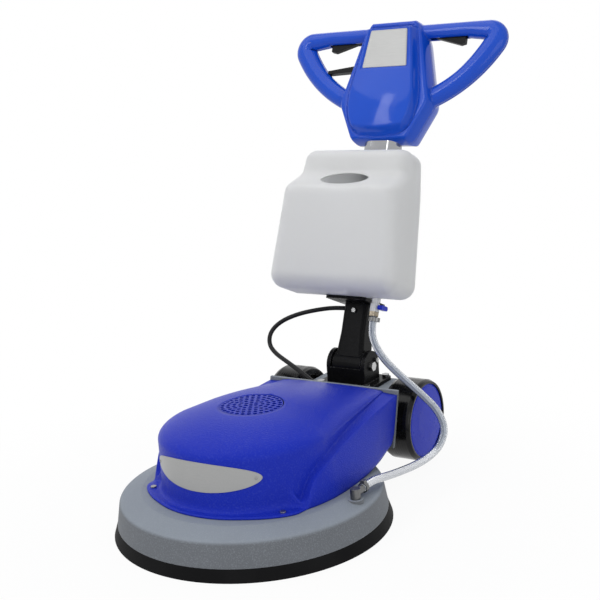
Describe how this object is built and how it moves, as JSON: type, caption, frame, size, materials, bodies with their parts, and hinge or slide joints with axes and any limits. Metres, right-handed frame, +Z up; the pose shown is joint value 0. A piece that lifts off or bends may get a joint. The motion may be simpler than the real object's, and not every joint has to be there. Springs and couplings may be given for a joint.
{
  "type": "carpet cleaning machine",
  "caption": "Walk-behind floor machine: round brush deck, moulded motor cover, rear transport wheels, tilting handle with solution tank, tap and hose, control head with grips and levers.",
  "frame": {"origin": "centre of the overall footprint, on the floor", "axes": "+Z up, -Y to the front where the cover's nose is, +X to the right seen from the front"},
  "size_m": [0.48, 0.9086, 0.8315],
  "materials": {
    "deck_casting": "grey textured paint",
    "cover_blue": "royal blue, fine moulded texture",
    "head_blue": "glossy royal blue",
    "disc_blue": "glossy blue",
    "plate": "bare satin plate",
    "screw_steel": "zinc plated",
    "skirt_rubber": "black rubber",
    "tyre_black": "glossy black rubber",
    "rim_plastic": "black nylon",
    "shaft_steel": "turned steel",
    "hinge_black": "black paint",
    "pole_chrome": "chrome plated",
    "tank_white": "translucent white",
    "tap_grey": "pale grey plastic",
    "tap_brass": "brass",
    "clip_steel": "bright steel",
    "hose_clear": "clear soft plastic",
    "cable_black": "black rubber",
    "lever_black": "black moulded plastic",
    "motor_grey": "cast aluminium",
    "cowl_black": "black plastic",
    "brush_wood": "sealed beech",
    "bristle": "nylon bristle"
  },
  "bodies": {
    "base": {"deck": "deck_casting", "skirt": "skirt_rubber", "motor_cover": "cover_blue", "cover_screws": "screw_steel", "cover_badge": "plate", "badge_rivets": "screw_steel", "gearbox": "motor_grey", "motor_housing": "motor_grey", "motor_cowl": "cowl_black", "motor_bolts": "screw_steel", "start_capacitor": "cowl_black", "axle": "shaft_steel", "axle_spacers": "rim_plastic", "axle_clips": "screw_steel", "hinge_bracket": "hinge_black", "bracket_bolts": "screw_steel", "pivot_pin": "shaft_steel", "hose_elbow": "clip_steel", "lower_hose_clamp": "clip_steel", "cable_gland": "cable_black", "solution_hose": "hose_clear", "motor_cable": "cable_black"},
    "brush": {"drive_hub": "shaft_steel", "brush_block": "brush_wood", "bristles": "bristle"},
    "wheel_left": {"tyre_left": "tyre_black", "rim_left": "rim_plastic", "bush_left": "rim_plastic", "wheel_disc_left": "disc_blue"},
    "wheel_right": {"tyre_right": "tyre_black", "rim_right": "rim_plastic", "bush_right": "rim_plastic", "wheel_disc_right": "disc_blue"},
    "handle": {"handle_post": "hinge_black", "post_bolts": "screw_steel", "cable_grommet": "cable_black", "tank_shelf": "hinge_black", "pole": "pole_chrome", "tank_clamp": "pole_chrome", "tank": "tank_white", "tap_body": "tap_grey", "tap_nut": "tap_brass", "upper_hose_clamp": "clip_steel", "head_front_shell": "head_blue", "head_rear_shell": "head_blue", "head_label": "plate", "head_screws": "screw_steel", "lever_pins": "screw_steel", "switch_block": "lever_black", "mains_gland": "cable_black"},
    "tap_handle": {"tap_handle": "disc_blue"},
    "switch_lever_left": {"switch_lever_left": "lever_black"},
    "switch_lever_right": {"switch_lever_right": "lever_black"},
    "lock_rod": {"lock_rod": "shaft_steel"},
    "release_lever": {"release_lever": "lever_black"}
  },
  "joints": [
    {"name": "brush_spin", "type": "hinge", "parent": "base", "child": "brush", "pos_m": [0, -0.21435, 0.02], "axis": [0, 0, 1], "continuous": true},
    {"name": "wheel_left_spin", "type": "hinge", "parent": "base", "child": "wheel_left", "pos_m": [-0.13, 0.14565, 0.084], "axis": [1, 0, 0], "continuous": true},
    {"name": "wheel_right_spin", "type": "hinge", "parent": "base", "child": "wheel_right", "pos_m": [0.13, 0.14565, 0.084], "axis": [1, 0, 0], "continuous": true},
    {"name": "handle_tilt", "type": "hinge", "parent": "base", "child": "handle", "pos_m": [0, 0.15165, 0.178], "axis": [1, 0, 0], "range_deg": [-50, 22.7], "deforming": ["solution_hose", "motor_cable"]},
    {"name": "tap_turn", "type": "hinge", "parent": "handle", "child": "tap_handle", "pos_m": [0.0733, 0.13759, 0.29987], "axis": [1, 0, 0], "range_deg": [0, 90]},
    {"name": "switch_lever_left_squeeze", "type": "hinge", "parent": "handle", "child": "switch_lever_left", "pos_m": [-0.082, 0.41253, 0.80164], "axis": [0, 0.9225, -0.3859], "range_deg": [0, 8], "stiffness_Nm_per_rad": 0.12, "springref_deg": -11.46},
    {"name": "switch_lever_right_squeeze", "type": "hinge", "parent": "handle", "child": "switch_lever_right", "pos_m": [0.082, 0.41253, 0.80164], "axis": [0, -0.9225, 0.3859], "range_deg": [0, 8], "stiffness_Nm_per_rad": 0.12, "springref_deg": -11.46},
    {"name": "lock_rod_slide", "type": "slide", "parent": "handle", "child": "lock_rod", "axis": [0, -0.3859, -0.9225], "range_m": [0, 0.0162], "stiffness_N_per_m": 300, "springref_m": -0.015},
    {"name": "release_lever_pull", "type": "hinge", "parent": "handle", "child": "release_lever", "pos_m": [-0.062, 0.38783, 0.74259], "axis": [0, 0.9225, -0.3859], "range_deg": [0, 14.2]}
  ],
  "couplings": [
    {"joint": "release_lever_pull", "follows": "lock_rod_slide", "rad_per_m": 15.04}
  ]
}
